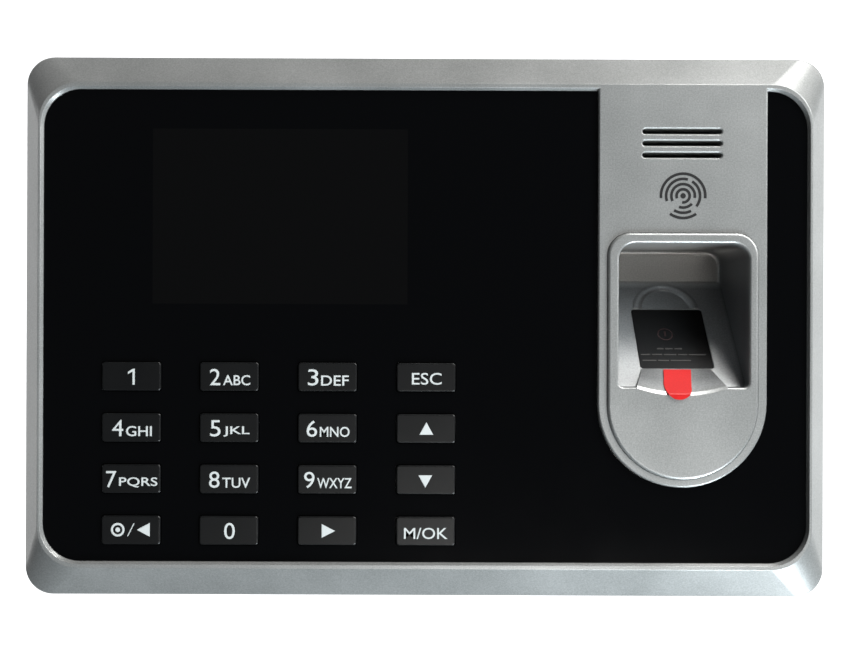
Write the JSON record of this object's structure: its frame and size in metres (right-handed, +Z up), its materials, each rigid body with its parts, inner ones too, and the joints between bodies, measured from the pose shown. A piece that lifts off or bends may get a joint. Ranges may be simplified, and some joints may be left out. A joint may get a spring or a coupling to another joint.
{
  "type": "fingerprint scanner terminal",
  "caption": "Wall-mounted access terminal with a dark display and keypad panel and a sloped finger pocket with an optical sensor.",
  "frame": {"origin": "middle of the wall plate's back face, on the wall", "axes": "+X to the right seen from the front, +Z up, +Y into the wall, so the front faces -Y"},
  "size_m": [0.1884, 0.0411, 0.1269],
  "materials": {
    "cover_silver": "satin silver-grey paint over moulded ABS",
    "rear_cover_silver": "fine-textured silver-grey moulded ABS",
    "panel_black": "black acrylic sheet, printed on its back",
    "surround_silver": "satin silver paint over moulded ABS",
    "key_black": "black polycarbonate cap, semi-gloss",
    "mat_grey": "translucent grey silicone",
    "tape_white": "adhesive foam tape",
    "board_green": "green solder mask over glass-fibre board",
    "chip_black": "moulded epoxy",
    "capacitor_can": "aluminium can",
    "connector_white": "moulded nylon",
    "cell_steel": "nickel-plated steel",
    "holder_black": "moulded nylon",
    "socket_steel": "tinned steel shell",
    "socket_black": "moulded nylon",
    "display_dark": "dark liquid-crystal glass",
    "backlight_white": "white moulded light guide tray",
    "gasket_foam": "black foam",
    "platen_glass": "coated optical glass, dark red when unlit",
    "prism_glass": "clear optical plastic",
    "housing_black": "black moulded plastic",
    "film_clear": "thin protective film",
    "tab_red": "red plastic film",
    "speaker_steel": "black steel frame with a ferrite magnet",
    "cloth_black": "non-woven cloth",
    "strap_steel": "zinc-plated sheet steel",
    "ribbon_amber": "polyimide ribbon",
    "lead_black": "PVC sheath",
    "plate_steel": "zinc-plated sheet steel",
    "screw_steel": "zinc-plated steel"
  },
  "bodies": {
    "wall_plate": {"wall_plate": "plate_steel"},
    "terminal": {"board_capacitors": "capacitor_can", "board_chips": "chip_black", "board_connectors": "connector_white", "board_screws": "screw_steel", "case_screws": "screw_steel", "coin_cell": "cell_steel", "coin_cell_holder": "holder_black", "dc_socket": "socket_black", "display_backlight": "backlight_white", "display_board": "board_green", "display_gasket": "gasket_foam", "display_glass": "display_dark", "display_ribbon": "ribbon_amber", "ethernet_socket": "socket_steel", "film_tab": "tab_red", "front_cover": "cover_silver", "front_panel": "panel_black", "keypad_board": "board_green", "keypad_mat": "mat_grey", "keypad_ribbon": "ribbon_amber", "main_board": "board_green", "main_board_screws": "screw_steel", "panel_tape": "tape_white", "platen_film": "film_clear", "rear_cover": "rear_cover_silver", "sensor_board": "board_green", "sensor_camera": "housing_black", "sensor_housing": "housing_black", "sensor_lead": "lead_black", "sensor_platen": "platen_glass", "sensor_prism": "prism_glass", "sensor_screws": "screw_steel", "sensor_surround": "surround_silver", "speaker": "speaker_steel", "speaker_cloth": "cloth_black", "speaker_gasket": "gasket_foam", "speaker_lead": "lead_black", "speaker_strap": "strap_steel", "usb_board": "board_green", "usb_lead": "lead_black", "usb_socket": "socket_steel"},
    "lock_washer": {"lock_washer": "screw_steel"},
    "lock_screw": {"lock_screw": "screw_steel"},
    "key_0": {"key_0": "key_black"},
    "key_1": {"key_1": "key_black"},
    "key_2": {"key_2": "key_black"},
    "key_3": {"key_3": "key_black"},
    "key_4": {"key_4": "key_black"},
    "key_5": {"key_5": "key_black"},
    "key_6": {"key_6": "key_black"},
    "key_7": {"key_7": "key_black"},
    "key_8": {"key_8": "key_black"},
    "key_9": {"key_9": "key_black"},
    "key_down": {"key_down": "key_black"},
    "key_esc": {"key_esc": "key_black"},
    "key_ok": {"key_ok": "key_black"},
    "key_power": {"key_power": "key_black"},
    "key_right": {"key_right": "key_black"},
    "key_up": {"key_up": "key_black"}
  },
  "joints": [
    {"name": "terminal_lift", "type": "slide", "parent": "wall_plate", "child": "terminal", "axis": [0, 0, 1], "range_m": [0, 0.006]},
    {"name": "lock_screw_travel", "type": "slide", "parent": "wall_plate", "child": "lock_washer", "axis": [0, 0, -1], "range_m": [0, 0.007]},
    {"name": "lock_screw_turn", "type": "hinge", "parent": "lock_washer", "child": "lock_screw", "pos_m": [0, -0.012, -0.05], "axis": [0, 0, -1], "range_deg": [0, 5041]},
    {"name": "key_0_press", "type": "slide", "parent": "terminal", "child": "key_0", "axis": [0, 1, 0], "range_m": [0, 0.0008], "stiffness_N_per_m": 1500, "springref_m": -0.0003, "deforming": ["keypad_mat"]},
    {"name": "key_1_press", "type": "slide", "parent": "terminal", "child": "key_1", "axis": [0, 1, 0], "range_m": [0, 0.0008], "stiffness_N_per_m": 1500, "springref_m": -0.0003, "deforming": ["keypad_mat"]},
    {"name": "key_2_press", "type": "slide", "parent": "terminal", "child": "key_2", "axis": [0, 1, 0], "range_m": [0, 0.0008], "stiffness_N_per_m": 1500, "springref_m": -0.0003, "deforming": ["keypad_mat"]},
    {"name": "key_3_press", "type": "slide", "parent": "terminal", "child": "key_3", "axis": [0, 1, 0], "range_m": [0, 0.0008], "stiffness_N_per_m": 1500, "springref_m": -0.0003, "deforming": ["keypad_mat"]},
    {"name": "key_4_press", "type": "slide", "parent": "terminal", "child": "key_4", "axis": [0, 1, 0], "range_m": [0, 0.0008], "stiffness_N_per_m": 1500, "springref_m": -0.0003, "deforming": ["keypad_mat"]},
    {"name": "key_5_press", "type": "slide", "parent": "terminal", "child": "key_5", "axis": [0, 1, 0], "range_m": [0, 0.0008], "stiffness_N_per_m": 1500, "springref_m": -0.0003, "deforming": ["keypad_mat"]},
    {"name": "key_6_press", "type": "slide", "parent": "terminal", "child": "key_6", "axis": [0, 1, 0], "range_m": [0, 0.0008], "stiffness_N_per_m": 1500, "springref_m": -0.0003, "deforming": ["keypad_mat"]},
    {"name": "key_7_press", "type": "slide", "parent": "terminal", "child": "key_7", "axis": [0, 1, 0], "range_m": [0, 0.0008], "stiffness_N_per_m": 1500, "springref_m": -0.0003, "deforming": ["keypad_mat"]},
    {"name": "key_8_press", "type": "slide", "parent": "terminal", "child": "key_8", "axis": [0, 1, 0], "range_m": [0, 0.0008], "stiffness_N_per_m": 1500, "springref_m": -0.0003, "deforming": ["keypad_mat"]},
    {"name": "key_9_press", "type": "slide", "parent": "terminal", "child": "key_9", "axis": [0, 1, 0], "range_m": [0, 0.0008], "stiffness_N_per_m": 1500, "springref_m": -0.0003, "deforming": ["keypad_mat"]},
    {"name": "key_down_press", "type": "slide", "parent": "terminal", "child": "key_down", "axis": [0, 1, 0], "range_m": [0, 0.0008], "stiffness_N_per_m": 1500, "springref_m": -0.0003, "deforming": ["keypad_mat"]},
    {"name": "key_esc_press", "type": "slide", "parent": "terminal", "child": "key_esc", "axis": [0, 1, 0], "range_m": [0, 0.0008], "stiffness_N_per_m": 1500, "springref_m": -0.0003, "deforming": ["keypad_mat"]},
    {"name": "key_ok_press", "type": "slide", "parent": "terminal", "child": "key_ok", "axis": [0, 1, 0], "range_m": [0, 0.0008], "stiffness_N_per_m": 1500, "springref_m": -0.0003, "deforming": ["keypad_mat"]},
    {"name": "key_power_press", "type": "slide", "parent": "terminal", "child": "key_power", "axis": [0, 1, 0], "range_m": [0, 0.0008], "stiffness_N_per_m": 1500, "springref_m": -0.0003, "deforming": ["keypad_mat"]},
    {"name": "key_right_press", "type": "slide", "parent": "terminal", "child": "key_right", "axis": [0, 1, 0], "range_m": [0, 0.0008], "stiffness_N_per_m": 1500, "springref_m": -0.0003, "deforming": ["keypad_mat"]},
    {"name": "key_up_press", "type": "slide", "parent": "terminal", "child": "key_up", "axis": [0, 1, 0], "range_m": [0, 0.0008], "stiffness_N_per_m": 1500, "springref_m": -0.0003, "deforming": ["keypad_mat"]}
  ],
  "couplings": [
    {"joint": "lock_screw_turn", "follows": "lock_screw_travel", "rad_per_m": 12566}
  ]
}
